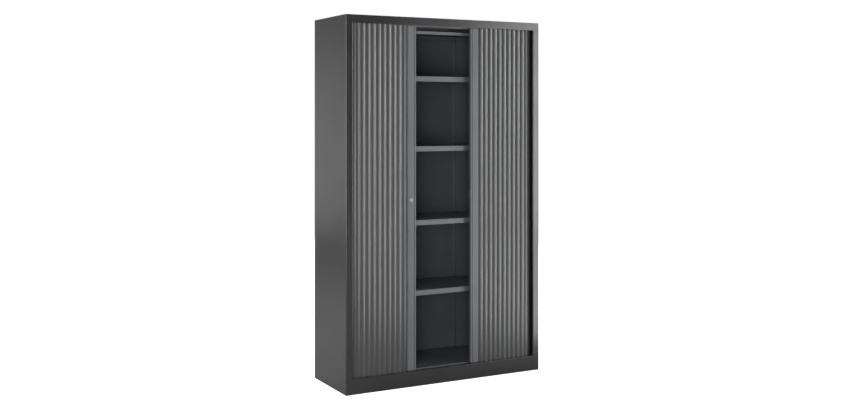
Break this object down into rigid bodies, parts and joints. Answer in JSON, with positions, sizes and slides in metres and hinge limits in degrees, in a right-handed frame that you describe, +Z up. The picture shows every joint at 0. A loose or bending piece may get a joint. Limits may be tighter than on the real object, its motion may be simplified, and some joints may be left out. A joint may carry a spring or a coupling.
{
  "type": "tambour storage cabinet",
  "caption": "Tall steel office cabinet with two sideways-sliding slatted curtains, shelves, a hanging-file frame, a hook lock and levelling feet.",
  "frame": {"origin": "on the floor under the middle of the cabinet, at its fitted height with the feet wound in", "axes": "+X to the right seen from the front, +Y to the back, +Z up; the curtains face -Y"},
  "size_m": [1.2, 0.43, 1.98],
  "materials": {
    "case_steel": "anthracite powder coat, semi-gloss, fine orange peel",
    "inner_steel": "anthracite powder coat on shelves, lining, decks and uprights",
    "slat_plastic": "anthracite extruded plastic slats, satin",
    "lead_aluminium": "grey painted extrusion",
    "track_plastic": "black moulded nylon",
    "lock_chrome": "nickel-plated lock face",
    "zinc_steel": "zinc-plated steel",
    "foot_plastic": "black moulded plastic"
  },
  "bodies": {
    "root": {"back_panel": "case_steel", "back_stiffener": "case_steel", "base_deck": "inner_steel", "bottom_front_track": "track_plastic", "floor_panel": "case_steel", "foot_nuts": "zinc_steel", "front_file_rail": "inner_steel", "head_deck": "inner_steel", "head_panel": "case_steel", "left_base_channel": "case_steel", "left_bottom_track": "track_plastic", "left_file_bar": "inner_steel", "left_front_upright": "inner_steel", "left_liner": "inner_steel", "left_rear_upright": "inner_steel", "left_side_panel": "case_steel", "left_slats_corner": "slat_plastic", "left_slats_front": "slat_plastic", "left_slats_side": "slat_plastic", "left_top_track": "track_plastic", "plinth_rail": "case_steel", "rear_file_rail": "inner_steel", "right_base_channel": "case_steel", "right_bottom_track": "track_plastic", "right_file_bar": "inner_steel", "right_front_upright": "inner_steel", "right_liner": "inner_steel", "right_rear_upright": "inner_steel", "right_side_panel": "case_steel", "right_slats_corner": "slat_plastic", "right_slats_front": "slat_plastic", "right_slats_side": "slat_plastic", "right_top_track": "track_plastic", "shelf_1": "inner_steel", "shelf_2": "inner_steel", "shelf_3": "inner_steel", "shelf_4": "inner_steel", "shelf_clips": "inner_steel", "top_front_track": "track_plastic", "top_panel": "case_steel", "top_stiffeners": "case_steel"},
    "left_shutter": {"left_lead": "lead_aluminium", "left_lead_caps": "track_plastic", "lock_case": "lock_chrome", "lock_nut": "zinc_steel"},
    "right_shutter": {"right_lead": "lead_aluminium", "right_lead_caps": "track_plastic", "lock_strike": "zinc_steel"},
    "lock": {"lock_barrel": "lock_chrome", "lock_hook": "zinc_steel", "lock_retainer": "zinc_steel"},
    "left_front_foot": {"left_front_foot_pad": "foot_plastic", "left_front_foot_stem": "zinc_steel"},
    "left_rear_foot": {"left_rear_foot_pad": "foot_plastic", "left_rear_foot_stem": "zinc_steel"},
    "right_front_foot": {"right_front_foot_pad": "foot_plastic", "right_front_foot_stem": "zinc_steel"},
    "right_rear_foot": {"right_rear_foot_pad": "foot_plastic", "right_rear_foot_stem": "zinc_steel"}
  },
  "joints": [
    {"name": "left_shutter_slide", "type": "slide", "parent": "root", "child": "left_shutter", "axis": [-1, 0, 0], "range_m": [-0.1845, 0.311], "deforming": ["left_slats_front", "left_slats_corner", "left_slats_side"]},
    {"name": "right_shutter_slide", "type": "slide", "parent": "root", "child": "right_shutter", "axis": [1, 0, 0], "range_m": [-0.1545, 0.341], "deforming": ["right_slats_front", "right_slats_corner", "right_slats_side"]},
    {"name": "lock_turn", "type": "hinge", "parent": "left_shutter", "child": "lock", "pos_m": [-0.213, -0.2, 1], "axis": [0, 1, 0], "range_deg": [0, 90]},
    {"name": "left_front_foot_level", "type": "slide", "parent": "root", "child": "left_front_foot", "axis": [0, 0, -1], "range_m": [0, 0.015]},
    {"name": "left_rear_foot_level", "type": "slide", "parent": "root", "child": "left_rear_foot", "axis": [0, 0, -1], "range_m": [0, 0.015]},
    {"name": "right_front_foot_level", "type": "slide", "parent": "root", "child": "right_front_foot", "axis": [0, 0, -1], "range_m": [0, 0.015]},
    {"name": "right_rear_foot_level", "type": "slide", "parent": "root", "child": "right_rear_foot", "axis": [0, 0, -1], "range_m": [0, 0.015]}
  ]
}
